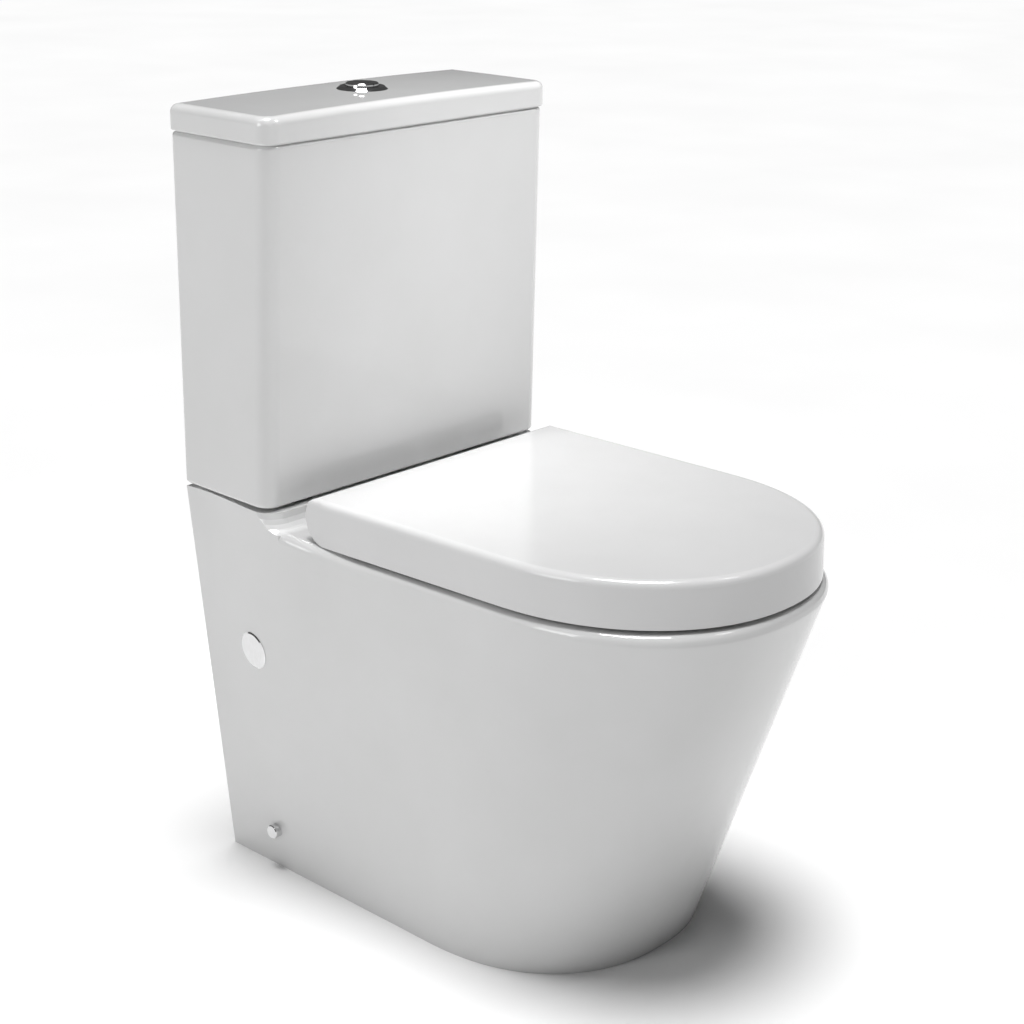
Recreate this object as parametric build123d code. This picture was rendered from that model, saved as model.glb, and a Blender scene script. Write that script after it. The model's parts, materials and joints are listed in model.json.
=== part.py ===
from build123d import *
import os
from math import cos, exp, pi, sin, sqrt

# Close coupled toilet, in millimetres. Z is up, the wall is on +Y, the front is on -Y, X = 0 is
# the plane of symmetry, and the origin is on the floor under the middle of the whole object.
# Places along the depth are given as distances from the wall, and out() turns them into Y.

os.makedirs("parts", exist_ok=True)

# ---- driving dimensions -------------------------------------------------------------------
DEPTH = 637.5            # wall to the front of the rim
HEIGHT = 843.0           # floor to the edge of the cistern lid's top

# pan: plan outline at the floor and at the rim
FLOOR_REAR_HALF, FLOOR_MID_HALF = 150.0, 161.8
FLOOR_STRAIGHT, FLOOR_FRONT, FLOOR_POWER = 328.0, 500.5, 2.28
RIM_REAR_HALF, RIM_MID_HALF = 197.2, 188.4
RIM_STRAIGHT, RIM_FRONT, RIM_POWER = 428.5, 641.0, 2.25
SHOULDER_SWELL, SHOULDER_AT, SHOULDER_SPREAD = 11.0, 130.0, 55.0
RIM_Z = 411.5            # top of the rim
DECK_Z = 427.0           # top of the deck, in front of the platform
PLATFORM_Z = 441.0       # top of the platform that carries the cistern
DECK_REAR, DECK_FRONT = 132.0, 250.0
PLATFORM_FRONT, PLATFORM_HALF, PLATFORM_CORNER = 139.5, 206.0, 24.0
PLATFORM_SPLAY = 14.0    # the outline widens past the skirt's sides towards the wall
FLARE, FLARE_DROP = 13.0, 19.0   # concave foot of the platform, outwards and down
PLATFORM_ROOT = 12.0     # how far the foot goes on inside the deck
SKIRT_WALL = 12.0
RIM_ROUND = 9.0
SLAB_Z = 394.0           # underside of the rim and of the deck's front
SLAB_REAR_Z = 428.0      # underside of the platform
SLAB_REAR_HALF, SLAB_REAR_FRONT = 182.0, 127.0
RIM_UNDER = 388.0        # the rim and the deck are made above this height
DECK_FRONT_CUT = 240.0   # the deck and the flush duct end here, behind the bowl
SUMP_TOP = 230.0         # the bowl's sump is made below this height
COLLAR_LOW = 330.0       # and its collar above this one

# bowl: half width, half length, centre from the wall, height of each section, top to bottom
BOWL = [
    (128, 168, 424, 411.5),
    (131, 172, 424, 385),
    (118, 156, 418, 320),
    (86, 112, 396, 230),
    (54, 64, 372, 150),
    (34, 38, 366, 92),
]
BOWL_WALL = 9.0
BOWL_FLOOR_SHARE = 0.45  # size of the bowl's flat bottom, against its last section

# flush duct, from the flush valve to the back of the bowl
DUCT_HALF, DUCT_WALL = 44.0, 10.0
DUCT_REAR, DUCT_FRONT = 44.0, 290.0
DUCT_LOW, DUCT_TOP = 354.0, 398.0
FLUSH_HOLE_R = 34.0
SEAL_POCKET_R, SEAL_POCKET_Z = 53.0, 421.0

# trapway: centreline as distance from the wall and height
TRAP_PATH = [(356, 132), (300, 132), (232, 258), (162, 258), (118, 185), (14, 185)]
TRAP_START = 345.0       # where its wall starts, inside the bowl's wall
TRAP_BEND = 50.0
TRAP_R, TRAP_WALL = 38.0, 8.0
SPIGOT_R, SPIGOT_LENGTH = 51.0, 60.0
OUTLET_Z = 185.0

# cistern
TANK_Z, TANK_TOP = 445.0, 815.0
TANK_LOW = dict(front_half=210.7, rear_half=203.2, depth=135.6, corner=18.3)
TANK_HIGH = dict(front_half=205.3, rear_half=204.5, depth=144.4, corner=18.2)
TANK_WALL, TANK_FLOOR = 9.0, 12.0
TANK_TOP_ROUND, TANK_FOOT_ROUND = 4.0, 5.0
LID_Z = 816.5
LID = dict(front_half=207.3, rear_half=206.4, depth=146.4, corner=18.2)
LID_ROUND, LID_LOW_ROUND = 8.5, 1.5
LID_CROWN = 2.2          # the middle of the lid's top above its ends
LID_BEARING = 4.5        # inset of the step that rests on the tank
LID_HOLLOW, LID_HOLLOW_TOP = 20.0, 830.0
LIP_OUT, LIP_IN, LIP_Z, LIP_TOP = 13.5, 17.5, 806.0, 818.0
PAD_HALF, PAD_REAR, PAD_FRONT = 14.0, 25.0, 125.0
PAD_X = (-150.0, 108.0)
VALVE_D = 66.0           # flush valve, button and cistern bolts, from the wall
FILL_X, FILL_D = 145.0, 60.0

# cistern bolts
BOLT_X, BOLT_R = 86.0, 4.0
BOLT_LOW, BOLT_HEAD_Z, BOLT_HEAD, BOLT_HEAD_R = 398.0, 461.0, 6.0, 9.0
BOLT_SLOT, BOLT_SLOT_DEPTH = 1.6, 2.0
PAN_BOLT_HOLE_R, TANK_BOLT_HOLE_R = 6.0, 5.5
WASHER_R, WASHER_SPIGOT_R = 12.0, 5.4
PLATE_WASHER_R, PLATE_WASHER = 14.0, 2.0
WING_LOW_R, WING_TOP_R, WING_Z, WING_TOP = 8.0, 6.0, 412.0, 426.0
WING_REACH, WING_THICK = 17.0, 3.0

# seat
HINGE_D, HINGE_Z = 200.0, 446.0
HINGE_X = 78.0
LID_ARC = 30.5           # rear lower edge of the seat lid, about the hinge axis
SEAT_LOW, SEAT_TOP = 416.0, 463.0
SEAT_REAR_LOW, SEAT_REAR_TOP = 161.6, 174.0
SEAT_REAR_HALF, SEAT_MID_HALF = 188.5, 185.8
SEAT_STRAIGHT, SEAT_FRONT, SEAT_POWER = 427.5, 633.8, 2.14
SEAT_DRAFT = 1.5         # the lid's sides lean in by this much at the top
SEAT_SHELL, SEAT_TOP_SHELL = 5.0, 7.0
SEAT_ROUND = 8.0
NOTCH_HALF, NOTCH_TOP = 122.0, 457.0   # room for the hinges in the lid's rear wall
RING_LOW, RING_TOP = 417.0, 448.0
RING_GAP = 3.0           # between the ring and the lid's skirt
RING_REAR = 222.0
RING_HOLE = (112.0, 148.0, 424.0)
RING_ROUND, RING_HOLE_DRAFT = 9.0, 2.0
KNUCKLE_R, DAMPER_R = 8.5, 6.5
PIN_R, PIN_FIT = 4.0, 0.06
POST_HALF, POST_R = 14.5, 8.0
KNUCKLE_NEAR, KNUCKLE_FAR = 15.0, 36.0   # both ends of a knuckle, from the post's middle
PIN_REACH = 35.5
POST_PLATE_R, POST_PLATE_Z, POST_PLATE_TOP = 19.0, 411.5, 416.0
STUD_LOW, STUD_TOP, STUD_BORE_TOP = 376.0, 434.0, 436.0
STUD_HOLE_R, STUD_WASHER_R = 6.5, 12.0
STUD_WASHER_Z, STUD_NUT_Z, STUD_NUT, STUD_NUT_R = 390.0, 380.0, 10.0, 9.0
RING_BUFFERS = ((-148, 330), (148, 330), (-98, 558), (98, 558))
LID_BUFFERS = ((-138, 330), (138, 330), (-92, 560), (92, 560))
RING_BUFFER_R, LID_BUFFER_R = 8.0, 5.0

# dual flush button
BUTTON_HOLE_R, BEZEL_R, BUTTON_R = 20.0, 27.0, 17.6
BEZEL_Z, BEZEL_RISE, BEZEL_SLOPE = HEIGHT + LID_CROWN, 3.0, 3.5
BUTTON_TOP = BEZEL_Z + 6.5
BUTTON_LOW, BUTTON_WALL, BUTTON_BEVEL = 836.0, 2.0, 1.2
BUTTON_SPLIT_R, BUTTON_SPLIT_AT, BUTTON_SPLIT = 70.0, 2.0, 0.5   # bowed gap between the halves
SLEEVE_LOW, SLEEVE_FLOOR, SLEEVE_FIT = 806.0, 810.0, 0.5
BUTTON_NUT_Z, BUTTON_NUT, BUTTON_NUT_R = 825.0, 5.0, 28.0
ROD_X, ROD_R, ROD_TOP = 9.0, 2.5, 843.0
STEM_R, STEM_LOW = 4.6, 837.0
SPRING_R, SPRING_WIRE_R, SPRING_PITCH, SPRING_LENGTH = 4.0, 0.45, 5.0, 26.0
PLATE_TOP, PLATE_R, PLATE_THICK = 755.0, 30.0, 4.0
PLATE_STEM_X, PLATE_STEM_R, PLATE_STEM_LOW = 26.0, 3.0, 690.0

# flush valve
VALVE_BORE_R, VALVE_TAIL_R, VALVE_HOLE_R, VALVE_FLANGE_R = 27.0, 31.7, 33.0, 46.0
VALVE_TAIL_LOW, FLANGE_Z, SEAL_Z = 424.0, 460.0, 463.0
VALVE_SEAT_IN, VALVE_SEAT_OUT = 24.0, 29.0
GASKET_IN, GASKET_OUT, GASKET_Z = 32.0, 45.0, 457.0
BACK_NUT_R, BACK_NUT_Z, BACK_NUT = 44.0, 434.0, 10.8
COUPLING_IN, COUPLING_OUT, COUPLING_Z, COUPLING_TOP = 33.5, 51.0, 421.5, 444.5
COUPLING_STEP_R, COUPLING_STEP_Z = 46.0, 433.5
TOWER_R, TOWER_WALL, TOWER_TOP, TOWER_CAP = 38.0, 2.5, 640.0, 5.0
WINDOW_WIDTH, WINDOW_HEIGHT, WINDOW_Z = 20.0, 60.0, 505.0
GUIDE_R, GUIDE_BORE_R, GUIDE_TOP, GUIDE_FLOOR = 6.0, 3.1, 735.0, 650.0
OVERFLOW_R, OVERFLOW_WALL, OVERFLOW_TOP, OVERFLOW_FIT = 14.0, 2.0, 700.0, 0.6
SEAL_R, SEAL_THICK = 32.0, 5.0
CARRIER_R, CARRIER_THICK = 26.0, 4.0
CUP_R, CUP_LOW, CUP_TOP = 30.0, 560.0, 600.0

# fill valve
THREAD_R, SHANK_R = 10.4, 10.2   # G1/2 tail of the fill valve, and its shank in the nut
TAIL_LOW, TAIL_TOP, NUT_LOW = 398.0, 434.0, 435.0
FILL_HOLE_R, PAN_FILL_HOLE_R = 11.5, 26.0
FILL_FLANGE_R, FILL_FLANGE_TOP, FILL_BORE_R, FILL_TOWER_R = 17.0, 465.0, 6.0, 11.0
FILL_GASKET_R, FILL_NUT_R, FILL_NUT = 16.0, 17.0, 10.0
LEVER_Z = 722.0
HEAD_R, HEAD_LOW, HEAD_TOP = 19.0, LEVER_Z - 18, LEVER_Z - 4
FILL_BORE_TOP = LEVER_Z - 30
PIVOT_X, PIVOT_R, PIVOT_LENGTH = FILL_X - 9, 2.0, 15.0
EAR_HALF, EAR_GAP_HALF, EAR_TOP, EAR_REACH = 7.0, 3.4, LEVER_Z + 6, 4.0
HUB_R, HUB_LENGTH, ARM_HALF, ARM_THICK = 3.5, 6.0, 3.0, 3.0
FLOAT_IN, FLOAT_R, FLOAT_LOW, FLOAT_HIGH, FLOAT_ROUND = 12.5, 30.0, 590.0, 650.0, 1.2
FLOAT_ROD_X, FLOAT_ROD_R = FILL_X + 24, 2.0

# side fixings
ACCESS_D, ACCESS_Z, ACCESS_R, ACCESS_HOLE_R = 81.7, 270.8, 21.0, 16.0
ACCESS_EDGE, ACCESS_RISE, ACCESS_BEVEL = 1.4, 0.8, 1.5
PLUG_R, PLUG_LENGTH, PLUG_DEPTH = 13.5, 14.0, 13.0
BASE_SCREW_D, BASE_SCREW_Z, BASE_SCREW_R, BASE_SCREW_HOLE_R = 82.0, 47.5, 3.0, 3.5
BASE_CAP_R, BASE_CAP_OUT, BASE_CAP_IN, BASE_CAP_BEVEL = 7.8, 9.0, 3.0, 0.8
BASE_SCREW_OUT, BASE_SCREW_START = 5.0, 118.0
BRACKET_IN, BRACKET_WALL, BRACKET_OUT = 84.0, 120.0, 132.0
BRACKET_REAR, BRACKET_FRONT, BRACKET_THICK, BRACKET_HEIGHT = 60.0, 108.0, 4.0, 66.0
BRACKET_HOLE_X, BRACKET_HOLE_D, BRACKET_HOLE_R = 100.0, 84.0, 4.5

REACH = 300.0            # cutters reach at least this far sideways
OVER = 50.0              # and run past the object's faces by this much


def out(d):
    """Y of a point at distance d from the wall."""
    return DEPTH / 2 - d


def lerp(a, b, t):
    return a + (b - a) * t


def save(node, *solids):
    shape = solids[0] if len(solids) == 1 else Compound(children=list(solids))
    export_step(shape, f"parts/{node}.step")


def pole(r, z0, z1, x=0.0, d=0.0):
    """Upright cylinder between two heights."""
    return Pos(x, out(d), (z0 + z1) / 2) * Cylinder(r, z1 - z0)


def ring(r_in, r_out, z0, z1, x=0.0, d=0.0):
    return pole(r_out, z0, z1, x, d) - pole(r_in, z0 - 1, z1 + 1, x, d)


def block(x0, x1, d0, d1, z0, z1):
    """Box between two X, two distances from the wall and two heights."""
    size = (abs(x1 - x0), abs(d1 - d0), abs(z1 - z0))
    return Pos((x0 + x1) / 2, out((d0 + d1) / 2), (z0 + z1) / 2) * Box(*size)


def bar(r, x0, x1, d, z):
    """Cylinder along X."""
    return Pos((x0 + x1) / 2, out(d), z) * Rot(0, 90, 0) * Cylinder(r, abs(x1 - x0))


def rod(r, length, x, d, z):
    """Cylinder along Y, centred on a point."""
    return Pos(x, out(d), z) * Rot(90, 0, 0) * Cylinder(r, length)


def cone(r0, r1, z0, z1, x=0.0, d=0.0):
    return Pos(x, out(d), (z0 + z1) / 2) * Cone(r0, r1, z1 - z0)


def prism(r, sides, z, height, x=0.0, d=0.0):
    """Upright nut blank."""
    return Pos(x, out(d), z) * extrude(RegularPolygon(r, sides), height)


def both(make):
    """The same piece on the left and on the right."""
    return [make(-1), make(1)]


# ---- outlines -----------------------------------------------------------------------------
def swell_at(d, swell):
    """How far the pan's shoulder swells out at a distance from the wall."""
    return swell * exp(-(((d - SHOULDER_AT) / SHOULDER_SPREAD) ** 2))


def d_outline(z, rear_half, mid_half, straight, front, power, rear=0.0, swell=0.0):
    """D-shaped wire: straight rear edge, almost straight sides, superelliptic front."""
    side_steps, front_steps = 9, 9
    right = []
    for i in range(side_steps):
        t = i / side_steps
        d = lerp(rear, straight, t)
        right.append((lerp(rear_half, mid_half, t) + swell_at(d, swell), d))
    for i in range(front_steps + 1):
        a = pi / 2 * i / front_steps
        x = mid_half * cos(a) ** (2 / power) if i < front_steps else 0.0
        right.append((x, straight + (front - straight) * sin(a) ** (2 / power)))
    points = [(x, out(d), z) for x, d in right]
    points += [(-x, out(d), z) for x, d in reversed(right[:-1])]
    curve = Edge.make_spline([Vector(*p) for p in points])
    back = Edge.make_line(points[-1], points[0])
    return Wire([curve, back])


def pan_outline(z, inset=0.0, rear=0.0):
    t = z / RIM_Z
    return d_outline(
        z,
        lerp(FLOOR_REAR_HALF, RIM_REAR_HALF, t) - inset,
        lerp(FLOOR_MID_HALF, RIM_MID_HALF, t) - inset,
        lerp(FLOOR_STRAIGHT, RIM_STRAIGHT, t),
        lerp(FLOOR_FRONT, RIM_FRONT, t) - inset,
        lerp(FLOOR_POWER, RIM_POWER, t),
        rear,
        SHOULDER_SWELL * t,
    )


def trapezoid(z, front_half, rear_half, depth, corner, inset=0.0, rear_corner=6.0):
    """Face with its rear edge along the wall and rounded corners."""
    f, r, d = front_half - inset, rear_half - inset, depth - inset
    corners = [(-r, out(inset)), (r, out(inset)), (f, out(d)), (-f, out(d))]
    face = make_face(Polyline(*[(x, y, z) for x, y in corners], close=True))
    front = [v for v in face.vertices() if v.Y < out(d) + 1]
    face = fillet(front, max(corner - inset, 3))
    rear = [v for v in face.vertices() if v.Y > out(inset) - 1]
    return fillet(rear, max(rear_corner - inset / 2, 1.5))


def ellipse(z, a, b, d):
    return Pos(0, out(d), z) * Ellipse(a, b).face()


def bowl_solid(grow, bottom_drop):
    """The bowl's inside, or its outside when grown by the wall. It runs past the rim."""
    faces = [ellipse(z, a + grow, b + grow, d) for a, b, d, z in BOWL]
    a, b, d, z = BOWL[0]
    faces.insert(0, ellipse(z + 5, a + grow, b + grow, d))
    a, b, d, z = BOWL[-1]
    share = BOWL_FLOOR_SHARE
    faces.append(ellipse(z - bottom_drop, (a + grow) * share, (b + grow) * share, d))
    return loft(faces)


# ---- pan ----------------------------------------------------------------------------------
def trap_tube(radius, path):
    line = FilletPolyline(*[(0, out(d), z) for d, z in path], radius=TRAP_BEND)
    start = Plane(origin=line @ 0, z_dir=line % 0)
    return sweep(start * Circle(radius), path=line)


def deck_waste():
    """Everything above the deck and the rim, along the whole width."""
    rise = DECK_Z - RIM_Z
    run = DECK_FRONT - DECK_REAR
    radius = (run**2 + rise**2) / (2 * rise)
    half_run = run / 2
    middle = (out(DECK_REAR + half_run), RIM_Z + radius - sqrt(radius**2 - half_run**2))
    rear, front, top = out(-OVER), out(DEPTH + OVER), PLATFORM_Z + OVER
    with BuildSketch(Plane.YZ.offset(-REACH)) as profile:
        with BuildLine():
            Line((rear, DECK_Z), (out(DECK_REAR), DECK_Z))
            ThreePointArc((out(DECK_REAR), DECK_Z), middle, (out(DECK_FRONT), RIM_Z))
            Polyline(
                (out(DECK_FRONT), RIM_Z), (front, RIM_Z), (front, top), (rear, top), (rear, DECK_Z)
            )
        make_face()
    return extrude(profile.sketch, 2 * REACH)


def skirt_body():
    """The pan's outside, floor to platform, before the deck is lowered."""
    return Solid.make_loft([pan_outline(0), pan_outline(PLATFORM_Z)], ruled=True)


def platform():
    """Raised seat of the cistern, with a concave foot."""
    outline = dict(
        front_half=PLATFORM_HALF,
        rear_half=PLATFORM_HALF + PLATFORM_SPLAY,
        depth=PLATFORM_FRONT,
        corner=PLATFORM_CORNER,
    )
    steps, last_angle, lip = 5, pi / 2 * 0.97, 1
    sections = []
    for i in range(steps + 1):
        a = last_angle * i / steps
        z = PLATFORM_Z - lip - FLARE_DROP * sin(a)
        sections.append(trapezoid(z, inset=-FLARE * (1 - cos(a)), **outline))
    foot = loft(sections, ruled=True)
    top = extrude(trapezoid(PLATFORM_Z - lip, **outline), lip)
    root = extrude(trapezoid(z - PLATFORM_ROOT, inset=-FLARE, **outline), PLATFORM_ROOT + 0.05)
    return foot + top + root


def pan_hollow():
    """Space inside the skirt, around the bowl and the flush duct."""
    half = DUCT_HALF + DUCT_WALL
    duct = block(-half, half, DUCT_REAR - DUCT_WALL, 300, DUCT_LOW - DUCT_WALL, 500)
    outlines = [pan_outline(-2, SKIRT_WALL, -20), pan_outline(SLAB_Z, SKIRT_WALL, -20)]
    hollow = Solid.make_loft(outlines, ruled=True) - bowl_solid(BOWL_WALL, BOWL_WALL)
    under = block(-SLAB_REAR_HALF, SLAB_REAR_HALF, -20, SLAB_REAR_FRONT, SLAB_Z - 4, SLAB_REAR_Z)
    return hollow - duct, under - duct


def pan_ceramic():
    """The whole casting: skirt, deck, platform, rim, bowl and flush duct."""
    body = skirt_body()
    shape = body - deck_waste()
    rim = [e for e in shape.edges() if e.bounding_box().min.Z > RIM_Z - 1]
    rim = [e for e in rim if e.geom_type == GeomType.BSPLINE]
    shape = fillet(rim, RIM_ROUND) + (platform() & body)
    for hollow in pan_hollow():
        shape = shape - hollow
    shape = shape - bowl_solid(0, 0)
    shape = shape - block(-DUCT_HALF, DUCT_HALF, DUCT_REAR, DUCT_FRONT, DUCT_LOW, DUCT_TOP)
    shape = shape - pole(FLUSH_HOLE_R, DUCT_TOP - 18, 450, 0, VALVE_D)
    shape = shape - pole(SEAL_POCKET_R, SEAL_POCKET_Z, 450, 0, VALVE_D)
    shape = shape - trap_tube(TRAP_R, TRAP_PATH)
    for x in (-BOLT_X, BOLT_X):
        shape = shape - pole(PAN_BOLT_HOLE_R, 380, 460, x, VALVE_D)
    shape = shape - pole(PAN_FILL_HOLE_R, 380, 460, FILL_X, FILL_D)
    for x in (-HINGE_X, HINGE_X):
        shape = shape - pole(POST_PLATE_R + 1, POST_PLATE_Z, 440, x, HINGE_D)
        shape = shape - pole(STUD_HOLE_R, 360, 430, x, HINGE_D)
    shape = shape - bar(ACCESS_HOLE_R, -REACH, REACH, ACCESS_D, ACCESS_Z)
    return shape - bar(BASE_SCREW_HOLE_R, -REACH, REACH, BASE_SCREW_D, BASE_SCREW_Z)


def pan_pieces():
    """The casting in seven plain pieces that meet on flat faces."""
    whole = pan_ceramic()
    front = DEPTH + OVER
    above = block(-REACH, REACH, -OVER, front, RIM_UNDER, PLATFORM_Z + OVER)
    behind = block(-REACH, REACH, -OVER, DECK_FRONT_CUT, -OVER, PLATFORM_Z + OVER)
    low = block(-REACH, REACH, -OVER, front, -OVER, SUMP_TOP)
    high = block(-REACH, REACH, -OVER, front, COLLAR_LOW, PLATFORM_Z + OVER)
    top = whole & above
    lower = (whole - above).solids()
    skirt = max(lower, key=lambda solid: solid.bounding_box().size.Z)
    inner = [solid for solid in lower if solid is not skirt]
    bowl = max(inner, key=lambda solid: solid.volume)
    return {
        "pan_skirt": skirt,
        "pan_deck": top & behind,
        "pan_rim": top - behind,
        "flush_duct": bowl & behind,
        "bowl_collar": (bowl - behind) & high,
        "bowl": bowl - behind - low - high,
        "bowl_sump": (bowl - behind) & low,
    }


def trapway_pieces():
    """The rising and the falling limb, which meet at the crest, and the spigot."""
    path = [(TRAP_START, TRAP_PATH[1][1])] + TRAP_PATH[1:]
    tube = trap_tube(TRAP_R + TRAP_WALL, path) - bowl_solid(BOWL_WALL, BOWL_WALL)
    end = TRAP_PATH[-1][0]
    spigot = rod(SPIGOT_R, SPIGOT_LENGTH, 0, end + SPIGOT_LENGTH / 2, OUTLET_Z)
    whole = tube + spigot - trap_tube(TRAP_R, TRAP_PATH)
    crest = (TRAP_PATH[2][0] + TRAP_PATH[3][0]) / 2
    falling = block(-REACH, REACH, -OVER, crest, -OVER, 400)
    return {"trap_rise": whole - falling, "trap_fall": whole & falling}


# ---- cistern ------------------------------------------------------------------------------
def tank_shape(z):
    """The tank's four outline sizes at a height."""
    t = (z - TANK_Z) / (TANK_TOP - TANK_Z)
    return {key: lerp(TANK_LOW[key], TANK_HIGH[key], t) for key in TANK_LOW}


def tank_loft(z0, z1, inset):
    faces = [trapezoid(z, inset=inset, **tank_shape(z)) for z in (z0, z1)]
    return loft(faces, ruled=True)


def cistern():
    shape = tank_loft(TANK_Z, TANK_TOP, 0)
    shape = fillet(shape.faces().sort_by(Axis.Z)[-1].edges(), TANK_TOP_ROUND)
    shape = fillet(shape.faces().sort_by(Axis.Z)[0].edges(), TANK_FOOT_ROUND)
    shape = shape - tank_loft(TANK_Z + TANK_FLOOR, TANK_TOP + 1, TANK_WALL)
    shape = shape - pole(VALVE_HOLE_R, 400, 500, 0, VALVE_D)
    for x in (-BOLT_X, BOLT_X):
        shape = shape - pole(TANK_BOLT_HOLE_R, 400, 500, x, VALVE_D)
    return shape - pole(FILL_HOLE_R, 400, 500, FILL_X, FILL_D)


def cistern_lid():
    """Crowned lid with a step that rests on the tank and a lip that drops inside it."""
    half = LID["front_half"]
    crown_r = (half**2 + LID_CROWN**2) / (2 * LID_CROWN)
    crown = Pos(0, out(LID["depth"] / 2), HEIGHT + LID_CROWN - crown_r) * Sphere(crown_r)
    shape = extrude(trapezoid(LID_Z, **LID), HEIGHT + 2 * LID_CROWN - LID_Z) & crown
    shape = fillet(shape.faces().sort_by(Axis.Z)[-1].edges(), LID_ROUND)
    shape = fillet(shape.faces().sort_by(Axis.Z)[0].edges(), LID_LOW_ROUND)
    shape = shape + extrude(trapezoid(TANK_TOP, inset=LID_BEARING, **LID), 3)
    hollow = trapezoid(TANK_TOP - 1, inset=LID_HOLLOW, **LID)
    shape = shape - extrude(hollow, LID_HOLLOW_TOP - TANK_TOP + 1)
    lip = extrude(trapezoid(LIP_Z, inset=LIP_OUT, **LID), LIP_TOP - LIP_Z)
    lip = lip - extrude(trapezoid(LIP_Z - 1, inset=LIP_IN, **LID), LIP_TOP - LIP_Z + 2)
    return shape + lip - pole(BUTTON_HOLE_R, 800, 860, 0, VALVE_D)


def cistern_pads():
    def pad(x):
        return block(x - PAD_HALF, x + PAD_HALF, PAD_REAR, PAD_FRONT, PLATFORM_Z, TANK_Z)

    return [pad(x) for x in PAD_X]


def cistern_bolts():
    def bolt(side):
        x = side * BOLT_X
        top = BOLT_HEAD_Z + BOLT_HEAD
        head = pole(BOLT_HEAD_R, BOLT_HEAD_Z, top, x, VALVE_D)
        d0, d1 = VALVE_D - BOLT_SLOT / 2, VALVE_D + BOLT_SLOT / 2
        slot = block(x - BOLT_HEAD_R, x + BOLT_HEAD_R, d0, d1, top - BOLT_SLOT_DEPTH, top + 1)
        return head + pole(BOLT_R, BOLT_LOW, BOLT_HEAD_Z + 1, x, VALVE_D) - slot

    return both(bolt)


def cistern_bolt_washers():
    """Cone washer under each bolt head, with a spigot in the tank's hole."""
    floor = TANK_Z + TANK_FLOOR

    def washer(side):
        x = side * BOLT_X
        spigot = pole(WASHER_SPIGOT_R, floor - 6, floor, x, VALVE_D)
        plate = pole(WASHER_R, floor, BOLT_HEAD_Z, x, VALVE_D)
        return spigot + plate - pole(BOLT_R, 400, 500, x, VALVE_D)

    return both(washer)


def cistern_plate_washers():
    def washer(side):
        low = WING_TOP
        return ring(BOLT_R + 0.2, PLATE_WASHER_R, low, low + PLATE_WASHER, side * BOLT_X, VALVE_D)

    return both(washer)


def cistern_wing_nuts():
    def nut(side):
        x = side * BOLT_X
        hub = cone(WING_LOW_R, WING_TOP_R, WING_Z, WING_TOP, x, VALVE_D)
        d0, d1 = VALVE_D - WING_THICK / 2, VALVE_D + WING_THICK / 2
        wings = block(x - WING_REACH, x + WING_REACH, d0, d1, WING_Z - 4, WING_TOP - 6)
        return hub + wings - pole(BOLT_R, 400, 430, x, VALVE_D)

    return both(nut)


# ---- flush valve --------------------------------------------------------------------------
def valve_base():
    flange = ring(VALVE_BORE_R, VALVE_FLANGE_R, FLANGE_Z, SEAL_Z, 0, VALVE_D)
    tail = ring(VALVE_BORE_R, VALVE_TAIL_R, VALVE_TAIL_LOW, FLANGE_Z + 1, 0, VALVE_D)
    seat = ring(VALVE_SEAT_IN, VALVE_SEAT_OUT, FLANGE_Z - 2, SEAL_Z, 0, VALVE_D)
    return flange + tail + seat


def valve_base_gasket():
    return ring(GASKET_IN, GASKET_OUT, GASKET_Z, FLANGE_Z, 0, VALVE_D)


def valve_back_nut():
    nut = prism(BACK_NUT_R, 8, BACK_NUT_Z, BACK_NUT, 0, VALVE_D)
    return nut - pole(VALVE_TAIL_R, 430, 450, 0, VALVE_D)


def coupling_seal():
    """Foam doughnut between the tank and the pan, around the back nut."""
    body = ring(COUPLING_IN, COUPLING_OUT, COUPLING_Z, COUPLING_TOP, 0, VALVE_D)
    return body - pole(COUPLING_STEP_R, COUPLING_STEP_Z, COUPLING_TOP + 1, 0, VALVE_D)


def valve_tower():
    """Windowed tube with two guides for the push plates on its cap."""
    wall = ring(TOWER_R - TOWER_WALL, TOWER_R, SEAL_Z, TOWER_TOP, 0, VALVE_D)
    for angle in (0, 60, 120):
        window = Box(2 * TOWER_R + 10, WINDOW_WIDTH, WINDOW_HEIGHT)
        wall = wall - Pos(0, out(VALVE_D), WINDOW_Z) * Rot(0, 0, angle) * window
    cap_top = TOWER_TOP + TOWER_CAP
    shape = wall + ring(OVERFLOW_R + OVERFLOW_FIT, TOWER_R + 2, TOWER_TOP, cap_top, 0, VALVE_D)
    for x in (-PLATE_STEM_X, PLATE_STEM_X):
        shape = shape + pole(GUIDE_R, cap_top - 1, GUIDE_TOP, x, VALVE_D)
        shape = shape - pole(GUIDE_BORE_R, GUIDE_FLOOR, GUIDE_TOP + 5, x, VALVE_D)
    return shape


def overflow_tube():
    inner = OVERFLOW_R - OVERFLOW_WALL
    low = SEAL_Z + SEAL_THICK
    tube = ring(inner, OVERFLOW_R, low, OVERFLOW_TOP, 0, VALVE_D)
    carrier = ring(inner, CARRIER_R, low, low + CARRIER_THICK, 0, VALVE_D)
    return tube + carrier + ring(inner, CUP_R, CUP_LOW, CUP_TOP, 0, VALVE_D)


def valve_seal():
    return ring(OVERFLOW_R - OVERFLOW_WALL, SEAL_R, SEAL_Z, SEAL_Z + SEAL_THICK, 0, VALVE_D)


def push_plate(side):
    """Half disc under one button's rod, on a stem in the tower's guide."""
    low = PLATE_TOP - PLATE_THICK
    reach = PLATE_R + 10
    half = block(side * 1.5, side * reach, VALVE_D - reach, VALVE_D + reach, low, PLATE_TOP)
    stem = pole(PLATE_STEM_R, PLATE_STEM_LOW, PLATE_TOP - 2, side * PLATE_STEM_X, VALVE_D)
    return (pole(PLATE_R, low, PLATE_TOP, 0, VALVE_D) & half) + stem


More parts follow.
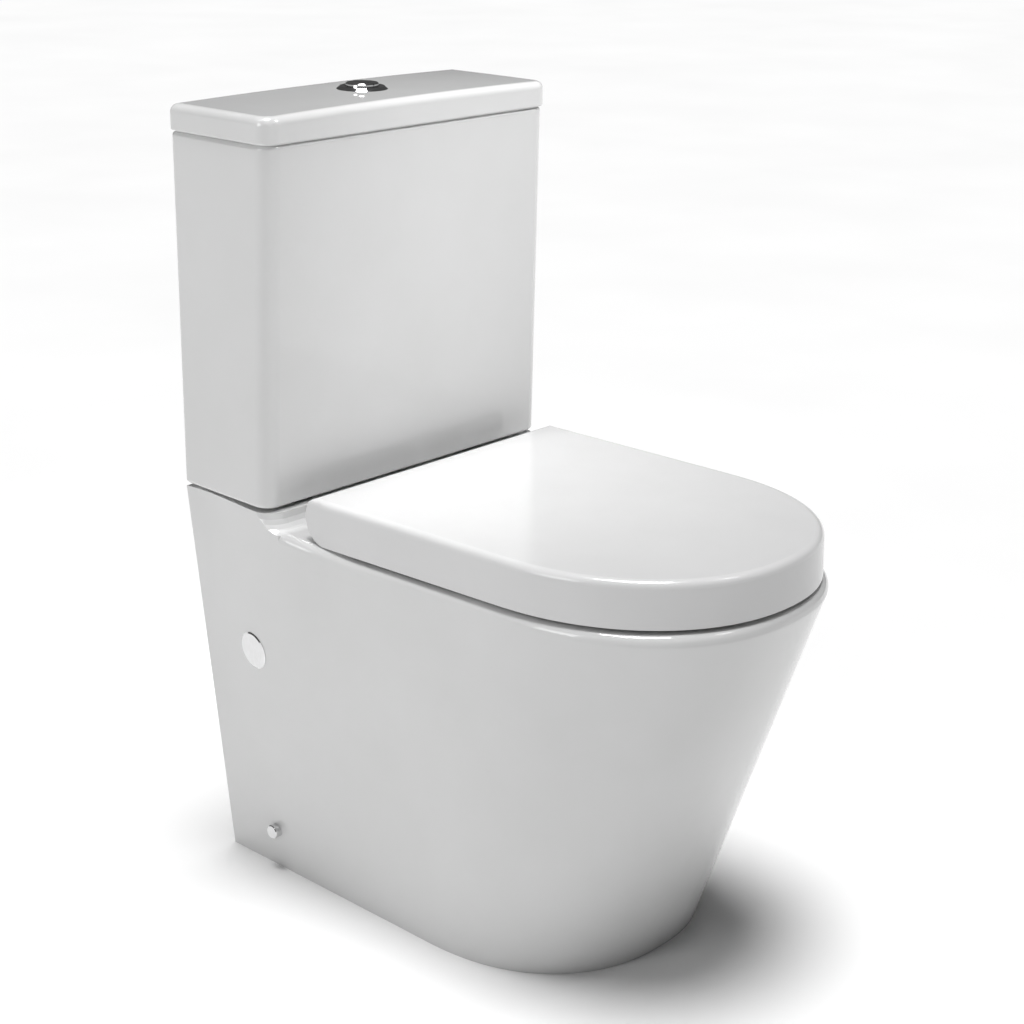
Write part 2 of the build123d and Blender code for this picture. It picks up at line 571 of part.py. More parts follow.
# ---- dual flush button --------------------------------------------------------------------
def button_bezel():
    """Flange on the lid, with a threaded sleeve through it and holes for the rods."""
    flange = cone(BEZEL_R, BEZEL_R - BEZEL_SLOPE, BEZEL_Z, BEZEL_Z + BEZEL_RISE, 0, VALVE_D)
    sleeve = pole(BUTTON_HOLE_R - SLEEVE_FIT, SLEEVE_LOW, BEZEL_Z + 1, 0, VALVE_D)
    shape = flange + sleeve - pole(BUTTON_R + 0.5, SLEEVE_FLOOR, 900, 0, VALVE_D)
    for x in (-ROD_X, ROD_X):
        shape = shape - pole(ROD_R + 0.4, SLEEVE_LOW - 5, SLEEVE_FLOOR + 5, x, VALVE_D)
    return shape


def button_nut():
    nut = prism(BUTTON_NUT_R, 6, BUTTON_NUT_Z, BUTTON_NUT, 0, VALVE_D)
    return nut - pole(BUTTON_HOLE_R - SLEEVE_FIT, 800, 860, 0, VALVE_D)


def button_half(side):
    """One of the two raised halves, parted by a gently bowed gap."""
    body = pole(BUTTON_R, BUTTON_LOW, BUTTON_TOP, 0, VALVE_D)
    body = chamfer(body.edges().sort_by(Axis.Z)[-1], BUTTON_BEVEL)
    split_x = BUTTON_SPLIT_AT - BUTTON_SPLIT_R
    divider = pole(BUTTON_SPLIT_R + side * BUTTON_SPLIT, 800, 900, split_x, VALVE_D)
    half = body - divider if side > 0 else body & divider
    half = half - pole(BUTTON_R - BUTTON_WALL, BUTTON_LOW - 1, BUTTON_TOP - 3, 0, VALVE_D)
    stem = pole(STEM_R, STEM_LOW, BUTTON_TOP - 2, side * ROD_X, VALVE_D)
    return half + stem - pole(ROD_R, BUTTON_LOW - 6, ROD_TOP, side * ROD_X, VALVE_D)


def push_rod(side):
    return pole(ROD_R, PLATE_TOP + 0.5, ROD_TOP, side * ROD_X, VALVE_D)


def button_spring(side):
    coil = Helix(pitch=SPRING_PITCH, height=SPRING_LENGTH, radius=SPRING_R)
    wire = sweep(Plane(origin=coil @ 0, z_dir=coil % 0) * Circle(SPRING_WIRE_R), path=coil)
    return Pos(side * ROD_X, out(VALVE_D), SLEEVE_FLOOR + 0.5) * wire


# ---- fill valve ---------------------------------------------------------------------------
def fill_valve_body():
    tail = pole(THREAD_R, TAIL_LOW, TAIL_TOP, FILL_X, FILL_D)
    shank = pole(SHANK_R, TAIL_TOP - 1, FILL_FLANGE_TOP - 3, FILL_X, FILL_D)
    flange = pole(FILL_FLANGE_R, FLANGE_Z, FILL_FLANGE_TOP, FILL_X, FILL_D)
    tower = pole(FILL_TOWER_R, FLANGE_Z + 2, HEAD_LOW, FILL_X, FILL_D)
    return tail + shank + flange + tower - pole(FILL_BORE_R, 390, FILL_BORE_TOP, FILL_X, FILL_D)


def fill_valve_gasket():
    return ring(SHANK_R, FILL_GASKET_R, GASKET_Z, FLANGE_Z, FILL_X, FILL_D)


def fill_valve_nut():
    nut = prism(FILL_NUT_R, 6, NUT_LOW, FILL_NUT, FILL_X, FILL_D)
    return nut - pole(SHANK_R, 430, 450, FILL_X, FILL_D)


def fill_valve_head():
    """Head with two ears for the lever's pin."""
    head = pole(HEAD_R, HEAD_LOW, HEAD_TOP, FILL_X, FILL_D)
    x0, x1 = PIVOT_X - EAR_REACH, PIVOT_X + EAR_REACH
    base = LEVER_Z - 5
    ears = block(x0, x1, FILL_D - EAR_HALF, FILL_D + EAR_HALF, base, EAR_TOP)
    gap = block(x0 - 2, x1 + 5, FILL_D - EAR_GAP_HALF, FILL_D + EAR_GAP_HALF, base, EAR_TOP + 3)
    return head + (ears - gap) - rod(PIVOT_R, 60, PIVOT_X, FILL_D, LEVER_Z)


def lever_pin():
    return rod(PIVOT_R, PIVOT_LENGTH, PIVOT_X, FILL_D, LEVER_Z)


def float_lever():
    """Arm from the pivot on the head to the float's rod."""
    hub = rod(HUB_R, HUB_LENGTH, PIVOT_X, FILL_D, LEVER_Z)
    z0, z1 = LEVER_Z - ARM_THICK / 2, LEVER_Z + ARM_THICK / 2
    arm = block(PIVOT_X, FLOAT_ROD_X, FILL_D - ARM_HALF, FILL_D + ARM_HALF, z0, z1)
    return hub + arm - rod(PIVOT_R + PIN_FIT, 20, PIVOT_X, FILL_D, LEVER_Z)


def fill_float():
    cup = ring(FLOAT_IN, FLOAT_R, FLOAT_LOW, FLOAT_HIGH, FILL_X, FILL_D)
    return fillet(cup.edges().filter_by(GeomType.CIRCLE), FLOAT_ROUND)


def float_rod():
    return pole(FLOAT_ROD_R, FLOAT_HIGH, HEAD_TOP, FLOAT_ROD_X, FILL_D)


# ---- seat ---------------------------------------------------------------------------------
def lid_outline(z, inset):
    """The seat lid's outline: its sides lean in and its rear leans forward towards the top."""
    t = (z - SEAT_LOW) / (SEAT_TOP - SEAT_LOW)
    inset_all = inset + SEAT_DRAFT * t
    return d_outline(
        z,
        SEAT_REAR_HALF - inset_all,
        SEAT_MID_HALF - inset_all,
        SEAT_STRAIGHT,
        SEAT_FRONT - inset_all,
        SEAT_POWER,
        lerp(SEAT_REAR_LOW, SEAT_REAR_TOP, t) + inset,
    )


def lid_solid(inset, top):
    """The seat lid's outside, or its hollow when inset by the wall."""
    low = SEAT_LOW - 1 if inset else SEAT_LOW
    solid = Solid.make_loft([lid_outline(low, inset), lid_outline(top, inset)], ruled=True)
    corner = block(-REACH, REACH, HINGE_D, HINGE_D - 60, SEAT_LOW - 20, HINGE_Z)
    return solid - (corner - bar(LID_ARC - inset, -REACH, REACH, HINGE_D, HINGE_Z))


def add_knuckle(shape, x0, x1, web):
    """Adds one hinge knuckle and its web, bored for the damper."""
    barrel = bar(KNUCKLE_R, x0, x1, HINGE_D, HINGE_Z)
    return shape + barrel + web - bar(DAMPER_R, x0 * 0.9, x1 * 1.1, HINGE_D, HINGE_Z)


def seat_lid():
    shape = lid_solid(0, SEAT_TOP)
    shape = fillet(shape.faces().sort_by(Axis.Z)[-1].edges(), SEAT_ROUND)
    shape = shape - lid_solid(SEAT_SHELL, SEAT_TOP - SEAT_TOP_SHELL)
    inner_half = SEAT_REAR_HALF - SEAT_SHELL
    shape = shape - block(-inner_half, inner_half, 150, HINGE_D + 4, 400, HINGE_Z)
    shape = shape - block(-NOTCH_HALF, NOTCH_HALF, 150, HINGE_D + 6, 400, NOTCH_TOP)
    under_top = SEAT_TOP - SEAT_TOP_SHELL + 1
    for side in (-1, 1):
        x0, x1 = side * (HINGE_X - KNUCKLE_FAR), side * (HINGE_X - KNUCKLE_NEAR)
        web = block(x0, x1, HINGE_D - 6, HINGE_D + KNUCKLE_R, HINGE_Z, under_top)
        shape = add_knuckle(shape, x0, x1, web)
    return shape


def damper_sleeves(near, far):
    """Soft-close sleeves in a pair of knuckles, which turn on the hinge pins."""
    def sleeve(side):
        x0, x1 = side * (HINGE_X + near), side * (HINGE_X + far)
        body = bar(DAMPER_R, x0, x1, HINGE_D, HINGE_Z)
        return body - bar(PIN_R + PIN_FIT, x0 * 0.9, x1 * 1.1, HINGE_D, HINGE_Z)

    return both(sleeve)


def ring_outline(z):
    inset = SEAT_SHELL + RING_GAP + SEAT_DRAFT
    return d_outline(
        z,
        SEAT_REAR_HALF - inset,
        SEAT_MID_HALF - inset,
        SEAT_STRAIGHT,
        SEAT_FRONT - inset,
        SEAT_POWER,
        RING_REAR,
    )


def seat_ring():
    outer = Solid.make_loft([ring_outline(RING_LOW), ring_outline(RING_TOP)], ruled=True)
    a, b, d = RING_HOLE
    lean = RING_HOLE_DRAFT
    low = ellipse(RING_LOW - 1, a + lean, b + lean, d)
    high = ellipse(RING_TOP + 1, a - lean, b - lean, d)
    shape = outer - loft([low, high])
    shape = fillet(shape.faces().sort_by(Axis.Z)[-1].edges(), RING_ROUND)
    for side in (-1, 1):
        x0, x1 = side * (HINGE_X + KNUCKLE_NEAR), side * (HINGE_X + KNUCKLE_FAR)
        web = block(x0, x1, HINGE_D, RING_REAR + 12, HINGE_Z - KNUCKLE_R, HINGE_Z)
        shape = add_knuckle(shape, x0, x1, web)
    return shape


def ring_buffers():
    return [pole(RING_BUFFER_R, RIM_Z, RING_LOW, x, d) for x, d in RING_BUFFERS]


def lid_buffers():
    top = SEAT_TOP - SEAT_TOP_SHELL
    return [pole(LID_BUFFER_R, RING_TOP, top, x, d) for x, d in LID_BUFFERS]


def hinge_posts():
    def post(side):
        x = side * HINGE_X
        plate = pole(POST_PLATE_R, POST_PLATE_Z, POST_PLATE_TOP, x, HINGE_D)
        plate = fillet(plate.edges().sort_by(Axis.Z)[-1], 1.5)
        column = pole(POST_R, POST_PLATE_TOP - 1, HINGE_Z, x, HINGE_D)
        barrel = bar(KNUCKLE_R, x - POST_HALF, x + POST_HALF, HINGE_D, HINGE_Z)
        shape = plate + column + barrel - bar(PIN_R, x - 20, x + 20, HINGE_D, HINGE_Z)
        return shape - pole(PIN_R, 400, STUD_BORE_TOP, x, HINGE_D)

    return both(post)


def hinge_pins():
    def pin(side):
        x0, x1 = side * (HINGE_X - PIN_REACH), side * (HINGE_X + PIN_REACH)
        return bar(PIN_R, x0, x1, HINGE_D, HINGE_Z)

    return both(pin)


def hinge_studs():
    return both(lambda side: pole(PIN_R, STUD_LOW, STUD_TOP, side * HINGE_X, HINGE_D))


def hinge_stud_washers():
    def washer(side):
        top = STUD_WASHER_Z + 4
        return ring(PIN_R + 0.2, STUD_WASHER_R, STUD_WASHER_Z, top, side * HINGE_X, HINGE_D)

    return both(washer)


def hinge_stud_nuts():
    def nut(side):
        x = side * HINGE_X
        body = prism(STUD_NUT_R, 6, STUD_NUT_Z, STUD_NUT, x, HINGE_D)
        return body - pole(PIN_R, 370, 400, x, HINGE_D)

    return both(nut)


# ---- side fixings -------------------------------------------------------------------------
def skirt_half(z, d):
    """Half width of the pan's outside near the rear."""
    t = z / RIM_Z
    rear = lerp(FLOOR_REAR_HALF, RIM_REAR_HALF, t)
    middle = lerp(FLOOR_MID_HALF, RIM_MID_HALF, t)
    straight = lerp(FLOOR_STRAIGHT, RIM_STRAIGHT, t)
    return lerp(rear, middle, d / straight) + swell_at(d, SHOULDER_SWELL * t)


def skirt_plane(z, d, side):
    """Plane on the pan's side, with Z pointing outwards."""
    step = 5
    rise = (skirt_half(z + step, d) - skirt_half(z - step, d)) / (2 * step)
    run = (skirt_half(z, d + step) - skirt_half(z, d - step)) / (2 * step)
    normal = (side, run, -rise)
    return Plane(origin=(side * skirt_half(z, d), out(d), z), z_dir=normal)


def side_access_caps():
    """Domed cover with a plug in the skirt's access hole."""
    body = skirt_body()

    def cap(side):
        plane = skirt_plane(ACCESS_Z, ACCESS_D, side)
        disc = plane * Pos(0, 0, ACCESS_EDGE - 0.5) * Cylinder(ACCESS_R, 1.0)
        dome = Cone(ACCESS_R, ACCESS_R - ACCESS_BEVEL, ACCESS_RISE)
        dome = plane * Pos(0, 0, ACCESS_EDGE + ACCESS_RISE / 2) * dome
        plug = plane * Pos(0, 0, PLUG_LENGTH / 2 - PLUG_DEPTH) * Cylinder(PLUG_R, PLUG_LENGTH)
        return disc + dome - body + plug

    return both(cap)


def base_screw_caps():
    body = skirt_body()
    half = skirt_half(BASE_SCREW_Z, BASE_SCREW_D)

    def cap(side):
        x0, x1 = side * (half - BASE_CAP_IN), side * (half + BASE_CAP_OUT)
        shape = bar(BASE_CAP_R, x0, x1, BASE_SCREW_D, BASE_SCREW_Z)
        ends = shape.edges().filter_by(GeomType.CIRCLE).sort_by(Axis.X)
        shape = chamfer(ends[-1 if side > 0 else 0], BASE_CAP_BEVEL)
        bore_end = side * (half + BASE_SCREW_OUT)
        return shape - body - bar(BASE_SCREW_R, side * 100, bore_end, BASE_SCREW_D, BASE_SCREW_Z)

    return both(cap)


def base_screws():
    end = skirt_half(BASE_SCREW_Z, BASE_SCREW_D) + BASE_SCREW_OUT

    def screw(side):
        return bar(BASE_SCREW_R, side * BASE_SCREW_START, side * end, BASE_SCREW_D, BASE_SCREW_Z)

    return both(screw)


def base_brackets():
    """Angle inside the skirt, screwed to the floor and from the side."""
    def bracket(side):
        x0, x1, x2 = side * BRACKET_IN, side * BRACKET_WALL, side * BRACKET_OUT
        foot = block(x0, x2, BRACKET_REAR, BRACKET_FRONT, 0, BRACKET_THICK)
        wall = block(x1, x2, BRACKET_REAR + 8, BRACKET_FRONT - 8, 0, BRACKET_HEIGHT)
        screw = bar(BASE_SCREW_R, side * 100, side * 140, BASE_SCREW_D, BASE_SCREW_Z)
        hole = pole(BRACKET_HOLE_R, -5, 10, side * BRACKET_HOLE_X, BRACKET_HOLE_D)
        return foot + wall - screw - hole

    return both(bracket)


def main():
    for node, piece in (pan_pieces() | trapway_pieces()).items():
        save(node, piece)
    save("cistern", cistern())
    save("cistern_lid", cistern_lid())
    save("cistern_pads", *cistern_pads())
    save("cistern_bolts", *cistern_bolts())
    save("cistern_bolt_washers", *cistern_bolt_washers())
    save("cistern_plate_washers", *cistern_plate_washers())
    save("cistern_wing_nuts", *cistern_wing_nuts())
    save("valve_base", valve_base())
    save("valve_base_gasket", valve_base_gasket())
    save("valve_back_nut", valve_back_nut())
    save("coupling_seal", coupling_seal())
    save("valve_tower", valve_tower())
    save("overflow_tube", overflow_tube())
    save("valve_seal", valve_seal())
    save("full_push_plate", push_plate(-1))
    save("half_push_plate", push_plate(1))
    save("button_bezel", button_bezel())
    save("button_nut", button_nut())
    save("full_flush_button", button_half(-1))
    save("half_flush_button", button_half(1))
    save("full_push_rod", push_rod(-1))
    save("half_push_rod", push_rod(1))
    save("full_button_spring", button_spring(-1))
    save("half_button_spring", button_spring(1))
    save("fill_valve_body", fill_valve_body())
    save("fill_valve_gasket", fill_valve_gasket())
    save("fill_valve_nut", fill_valve_nut())
    save("fill_valve_head", fill_valve_head())
    save("lever_pin", lever_pin())
    save("float_lever", float_lever())
    save("fill_float", fill_float())
    save("float_rod", float_rod())
    save("seat_lid", seat_lid())
    save("lid_dampers", *damper_sleeves(-KNUCKLE_FAR, -KNUCKLE_NEAR))
    save("seat_ring", seat_ring())
    save("ring_dampers", *damper_sleeves(KNUCKLE_NEAR, KNUCKLE_FAR))
    save("ring_buffers", *ring_buffers())
    save("lid_buffers", *lid_buffers())
    save("hinge_posts", *hinge_posts())
    save("hinge_pins", *hinge_pins())
    save("hinge_studs", *hinge_studs())
    save("hinge_stud_washers", *hinge_stud_washers())
    save("hinge_stud_nuts", *hinge_stud_nuts())
    save("side_access_caps", *side_access_caps())
    save("base_screw_caps", *base_screw_caps())
    save("base_screws", *base_screws())
    save("base_brackets", *base_brackets())


if __name__ == "__main__":
    main()
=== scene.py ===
import json
import math

import bpy
from mathutils import Matrix, Vector


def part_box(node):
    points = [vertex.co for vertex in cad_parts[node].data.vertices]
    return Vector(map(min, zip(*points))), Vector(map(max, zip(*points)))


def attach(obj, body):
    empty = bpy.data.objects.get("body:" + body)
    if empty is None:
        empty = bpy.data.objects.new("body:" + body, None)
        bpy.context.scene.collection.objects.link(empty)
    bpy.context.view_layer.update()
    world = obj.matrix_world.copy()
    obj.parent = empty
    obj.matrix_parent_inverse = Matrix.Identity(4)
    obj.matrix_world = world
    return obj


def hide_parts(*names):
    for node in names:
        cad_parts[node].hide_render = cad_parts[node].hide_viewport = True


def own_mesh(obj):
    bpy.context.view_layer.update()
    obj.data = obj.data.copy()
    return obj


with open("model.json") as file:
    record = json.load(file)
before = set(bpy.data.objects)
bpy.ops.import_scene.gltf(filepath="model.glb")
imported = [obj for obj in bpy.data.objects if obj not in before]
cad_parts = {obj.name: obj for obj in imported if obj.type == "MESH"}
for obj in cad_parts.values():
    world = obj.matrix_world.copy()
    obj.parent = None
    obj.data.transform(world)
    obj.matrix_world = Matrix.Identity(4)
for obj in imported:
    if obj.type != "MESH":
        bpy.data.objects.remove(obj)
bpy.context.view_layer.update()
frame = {"nodes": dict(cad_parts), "record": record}

MM = 0.001
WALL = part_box("cistern")[1].y        # the wall plane, in metres from the origin along +Y

# where the values of a noise mostly lie, and a narrower band for wiped metal
NOISE = (0.3, 0.7)
WIPED = (0.35, 0.65)

# springs under the flush buttons
SPRING_WIRE = 0.45 * MM              # radius of the wire
SPRING_TURNS = 5.2
SPRING_STEPS = 48                    # points along one turn
SPRING_SIDES = 14                    # points round the wire

# camera: its angles in degrees, its aim, and its distance from the aim in metres
AZIMUTH, ELEVATION, ROLL = -48.80, 19.12, 0.886
AIM = Vector((0.0, WALL - 300 * MM, 0.42))
DISTANCE = 2.21336
SENSOR, LENS = 36.0, 74.66
SHIFT_X, SHIFT_Y = -0.0116, 0.0113
FAR_CLIP = 60.0

# studio: the sun's width in the sky and its tilt are in degrees
FLOOR_SIZE = 60.0
WORLD_STRENGTH = 0.08
SUN_ENERGY, SUN_WIDTH, SUN_TILT = 3.15, 24, -2


# ---- node helpers --------------------------------------------------------------------------
class Nodes:
    """A material's node tree, with short calls for what the materials below repeat."""

    def __init__(self, name):
        self.mat = bpy.data.materials.new(name)
        self.mat.use_nodes = True
        self.tree = self.mat.node_tree
        self.shader = self.tree.nodes["Principled BSDF"]
        coords = self.tree.nodes.new("ShaderNodeTexCoord")
        self.place = coords.outputs["Object"]

    def link(self, a, b):
        self.tree.links.new(a, b)

    def noise(self, scale, detail=2.0, rough=0.5, stretch=None, distortion=0.0):
        n = self.tree.nodes.new("ShaderNodeTexNoise")
        n.inputs["Scale"].default_value = scale
        n.inputs["Detail"].default_value = detail
        n.inputs["Roughness"].default_value = rough
        n.inputs["Distortion"].default_value = distortion
        place = self.place
        if stretch:
            m = self.tree.nodes.new("ShaderNodeMapping")
            m.inputs["Scale"].default_value = stretch
            self.link(place, m.inputs["Vector"])
            place = m.outputs["Vector"]
        self.link(place, n.inputs["Vector"])
        return n.outputs["Fac"]

    def speckle(self, scale):
        v = self.tree.nodes.new("ShaderNodeTexVoronoi")
        v.inputs["Scale"].default_value = scale
        self.link(self.place, v.inputs["Vector"])
        return v.outputs["Distance"]

    def color(self, value, dark, light, band=NOISE):
        """Base colour that goes from dark to light as value crosses the band."""
        r = self.tree.nodes.new("ShaderNodeValToRGB")
        for stop, position, tone in zip(r.color_ramp.elements, band, (dark, light)):
            stop.position = position
            stop.color = (*tone, 1.0)
        self.link(value, r.inputs["Fac"])
        self.link(r.outputs["Color"], self.shader.inputs["Base Color"])

    def roughness(self, value, low, high, band=NOISE):
        """Roughness that goes from low to high as value crosses the band."""
        m = self.tree.nodes.new("ShaderNodeMapRange")
        for key, v in zip(("From Min", "From Max", "To Min", "To Max"), (*band, low, high)):
            m.inputs[key].default_value = v
        self.link(value, m.inputs["Value"])
        self.link(m.outputs["Result"], self.shader.inputs["Roughness"])

    def bumps(self, *layers):
        """Stacked bump layers, each (height output, strength, distance in metres)."""
        last = None
        for height, strength, distance in layers:
            b = self.tree.nodes.new("ShaderNodeBump")
            b.inputs["Strength"].default_value = strength
            b.inputs["Distance"].default_value = distance
            self.link(height, b.inputs["Height"])
            if last:
                self.link(last, b.inputs["Normal"])
            last = b.outputs["Normal"]
        self.link(last, self.shader.inputs["Normal"])

    def set(self, **values):
        for key, v in values.items():
            self.shader.inputs[key.replace("_", " ")].default_value = v


# ---- materials -----------------------------------------------------------------------------
def glaze():
    """White vitreous china glaze: faint tone drift, slow waviness and fine orange peel."""
    n = Nodes("glazed_china")
    n.color(n.noise(7.0, 3.0, 0.55), dark=(0.66, 0.662, 0.66), light=(0.685, 0.686, 0.687))
    n.roughness(n.noise(22.0, 2.0), low=0.035, high=0.065)
    n.bumps((n.noise(9.0, 1.0, 0.4), 0.10, 0.004), (n.noise(420.0, 2.0), 0.03, 0.0003))
    n.set(Coat_Weight=0.35, Coat_Roughness=0.03, IOR=1.5)
    return n.mat


def seat_resin():
    """Pressed white urea resin, a little softer in gloss than the china."""
    n = Nodes("seat_resin")
    n.color(n.noise(14.0, 4.0), dark=(0.66, 0.66, 0.662), light=(0.68, 0.68, 0.682))
    n.roughness(n.noise(35.0, 3.0), low=0.13, high=0.20)
    n.bumps((n.noise(16.0, 1.0), 0.06, 0.002), (n.noise(900.0, 3.0), 0.04, 0.0002))
    n.set(Coat_Weight=0.25, Coat_Roughness=0.08, IOR=1.5)
    return n.mat


def chrome(name, tone, low, high):
    """Mirror plating with faint wipe marks."""
    n = Nodes(name)
    marks = n.noise(60.0, 4.0, 0.6, stretch=(1.0, 6.0, 2.0), distortion=0.6)
    n.color(marks, dark=(tone * 0.94,) * 3, light=(tone, tone, tone * 1.01), band=WIPED)
    n.roughness(marks, low, high, band=(WIPED[0], NOISE[1]))
    n.bumps((n.noise(1500.0, 2.0), 0.02, 0.0001))
    n.set(Metallic=1.0)
    return n.mat


def brushed_steel():
    """Satin stainless steel, with its grain along X."""
    n = Nodes("satin_steel")
    grain = n.noise(900.0, 3.0, 0.6, stretch=(0.04, 1.0, 1.0))
    n.color(grain, dark=(0.50, 0.51, 0.53), light=(0.66, 0.67, 0.69))
    n.roughness(grain, low=0.24, high=0.40)
    n.bumps((grain, 0.12, 0.0002))
    n.set(Metallic=1.0)
    return n.mat


def brass():
    """Turned brass, dulled in patches, with fine rings from the lathe."""
    n = Nodes("turned_brass")
    tarnish = n.noise(90.0, 4.0, 0.6)
    n.color(tarnish, dark=(0.48, 0.34, 0.13), light=(0.72, 0.55, 0.27))
    n.roughness(tarnish, low=0.22, high=0.42)
    n.bumps((n.noise(700.0, 2.0, stretch=(1.0, 1.0, 12.0)), 0.10, 0.0002))
    n.set(Metallic=1.0)
    return n.mat


def moulded(name, dark, light, low, high):
    """Moulded plastic with a fine spark-eroded texture."""
    n = Nodes(name)
    n.color(n.noise(40.0, 4.0), dark, light)
    n.roughness(n.noise(160.0, 3.0), low, high)
    n.bumps((n.speckle(1400.0), 0.12, 0.0002), (n.noise(30.0, 1.0), 0.05, 0.001))
    n.set(Subsurface_Weight=0.04, Subsurface_Scale=0.004)
    return n.mat


def rubber(name, dark, light):
    """Matt rubber with a dusty, slightly rough skin."""
    n = Nodes(name)
    n.color(n.noise(120.0, 5.0, 0.65), dark, light)
    n.roughness(n.noise(260.0, 3.0), low=0.62, high=0.85)
    n.bumps((n.noise(1200.0, 4.0, 0.7), 0.25, 0.0003))
    return n.mat


def studio_floor():
    """Pale matt floor with a faint unevenness."""
    n = Nodes("pale_floor")
    n.color(n.noise(1.5, 3.0), dark=(0.90, 0.90, 0.90), light=(0.93, 0.93, 0.93))
    n.roughness(n.noise(3.0, 2.0), low=0.8, high=0.9)
    n.set(IOR=1.1)
    return n.mat


MATERIALS = {
    "ceramic": glaze(),
    "seat_resin": seat_resin(),
    "chrome": chrome("polished_chrome", 0.80, 0.04, 0.10),
    "chrome_plastic": chrome("chrome_plating", 0.74, 0.05, 0.13),
    "steel": brushed_steel(),
    "brass": brass(),
    "valve_plastic": moulded("valve_plastic", (0.70, 0.70, 0.67), (0.80, 0.80, 0.77), 0.34, 0.5),
    "blue_plastic": moulded("blue_plastic", (0.03, 0.13, 0.36), (0.05, 0.18, 0.45), 0.32, 0.48),
    "damper_plastic": moulded("damper_plastic", (0.10, 0.10, 0.11), (0.15, 0.15, 0.16), 0.35, 0.5),
    "rubber": rubber("black_rubber", (0.018, 0.018, 0.019), (0.035, 0.035, 0.036)),
    "rubber_white": rubber("clear_white_rubber", (0.62, 0.62, 0.60), (0.74, 0.74, 0.72)),
}


def dress_cad_nodes():
    """Every CAD node takes the material of its slot."""
    for part in frame["record"]["subparts"]:
        data = frame["nodes"][part["node"]].data
        data.materials.clear()
        data.materials.append(MATERIALS[part["material_slot"]])


# ---- finer meshes --------------------------------------------------------------------------
def coil_points(low, height, radius):
    """Points on the skin of a wire wound up an axis that starts at low, ring by ring."""
    count = int(SPRING_TURNS * SPRING_STEPS)
    climb = height / (2 * math.pi * SPRING_TURNS * radius)
    points = []
    for i in range(count + 1):
        a = 2 * math.pi * SPRING_TURNS * i / count
        outward = Vector((math.cos(a), math.sin(a), 0))
        along = Vector((-math.sin(a), math.cos(a), climb)).normalized()
        upward = outward.cross(along)
        middle = low + outward * radius + Vector((0, 0, height * i / count))
        for k in range(SPRING_SIDES):
            b = 2 * math.pi * k / SPRING_SIDES
            points.append(middle + (outward * math.cos(b) + upward * math.sin(b)) * SPRING_WIRE)
    return points


def coil_mesh(name, low, height, radius):
    """Smooth wire with two flat ends."""
    points = coil_points(low, height, radius)
    last = len(points) - SPRING_SIDES
    ends = [tuple(range(SPRING_SIDES)), tuple(reversed(range(last, len(points))))]
    sides = []
    for a in range(0, last, SPRING_SIDES):
        b = a + SPRING_SIDES
        for k in range(SPRING_SIDES):
            n = (k + 1) % SPRING_SIDES
            sides.append((a + k, b + k, b + n, a + n))
    mesh = bpy.data.meshes.new(name)
    mesh.from_pydata(points, [], ends + sides)
    for face in mesh.polygons[len(ends):]:
        face.use_smooth = True
    mesh.materials.append(MATERIALS["steel"])
    return mesh


def button_spring(node):
    """A wound spring in place of the CAD one, carried with the tank lid."""
    low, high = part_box(node)
    height = high.z - low.z
    foot = Vector(((low.x + high.x) / 2, (low.y + high.y) / 2, low.z + SPRING_WIRE))
    radius = (high.x - low.x) / 2 - SPRING_WIRE
    name = node + "_wire"
    spring = bpy.data.objects.new(name, coil_mesh(name, foot, height - 2 * SPRING_WIRE, radius))
    bpy.context.scene.collection.objects.link(spring)
    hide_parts(node)
    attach(spring, "tank_lid")
    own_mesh(spring)


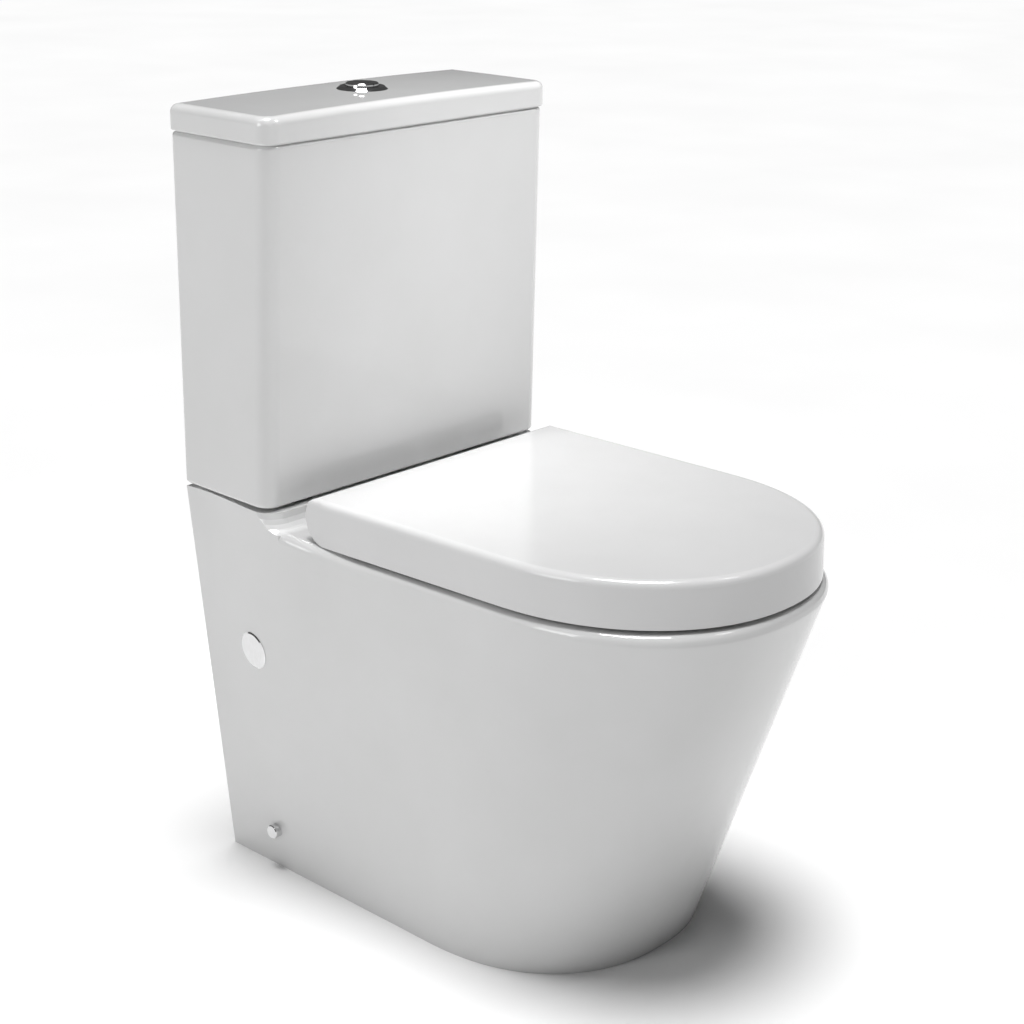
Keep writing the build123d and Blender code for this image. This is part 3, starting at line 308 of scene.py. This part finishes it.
# ---- camera, floor, lights -----------------------------------------------------------------
def add_camera():
    """Three-quarter view from the front left, a little above the seat."""
    azimuth, elevation, roll = (math.radians(a) for a in (AZIMUTH, ELEVATION, ROLL))
    back = Vector((
        math.sin(azimuth) * math.cos(elevation),
        -math.cos(azimuth) * math.cos(elevation),
        math.sin(elevation),
    ))
    level = Vector((math.cos(azimuth), math.sin(azimuth), 0.0))
    right = level * math.cos(roll) + back.cross(level) * math.sin(roll)
    data = bpy.data.cameras.new("camera")
    data.sensor_width, data.lens = SENSOR, LENS
    data.shift_x, data.shift_y = SHIFT_X, SHIFT_Y
    data.clip_end = FAR_CLIP
    cam = bpy.data.objects.new("camera", data)
    turn = Matrix((right, back.cross(right), back)).transposed().to_4x4()
    cam.matrix_world = Matrix.Translation(AIM + back * DISTANCE) @ turn
    bpy.context.scene.collection.objects.link(cam)
    bpy.context.scene.camera = cam


def add_floor():
    """Wide white studio floor."""
    bpy.ops.mesh.primitive_plane_add(size=FLOOR_SIZE, location=(0, 0, 0))
    floor = bpy.context.object
    floor.name = "floor"
    floor.data.materials.append(studio_floor())


def add_box_light(name, place, aim, side, power, spread):
    """A square soft box with a grid on it, which keeps its light within the spread."""
    data = bpy.data.lights.new(name, "AREA")
    data.shape = "SQUARE"
    data.size = side
    data.energy = power
    data.spread = math.radians(spread)
    lamp = bpy.data.objects.new(name, data)
    lamp.location = place
    lamp.rotation_euler = (Vector(aim) - Vector(place)).to_track_quat("-Z", "Y").to_euler()
    bpy.context.scene.collection.objects.link(lamp)


def add_lights():
    """Dim surroundings, one broad light from above and two soft boxes."""
    world = bpy.data.worlds.new("studio")
    bpy.context.scene.world = world
    world.use_nodes = True
    back = world.node_tree.nodes["Background"]
    back.inputs["Color"].default_value = (1, 1, 1, 1)
    back.inputs["Strength"].default_value = WORLD_STRENGTH
    sun = bpy.data.lights.new("overhead", "SUN")
    sun.energy, sun.angle = SUN_ENERGY, math.radians(SUN_WIDTH)
    lamp = bpy.data.objects.new("overhead", sun)
    lamp.rotation_euler = (0, math.radians(SUN_TILT), 0)
    bpy.context.scene.collection.objects.link(lamp)
    add_box_light(
        "seat_key", place=(0.6, -0.8, 2.0), aim=(0.06, 0.13, 0.71), side=0.4, power=0.95, spread=32
    )
    add_box_light(
        "left_box", place=(-2.3, 0.3, 1.3), aim=(-0.1, 0.2, 0.74), side=1.0, power=3.5, spread=90
    )


dress_cad_nodes()
button_spring("full_button_spring")
button_spring("half_button_spring")
add_camera()
add_floor()
add_lights()
bpy.context.scene.view_settings.view_transform = "Standard"
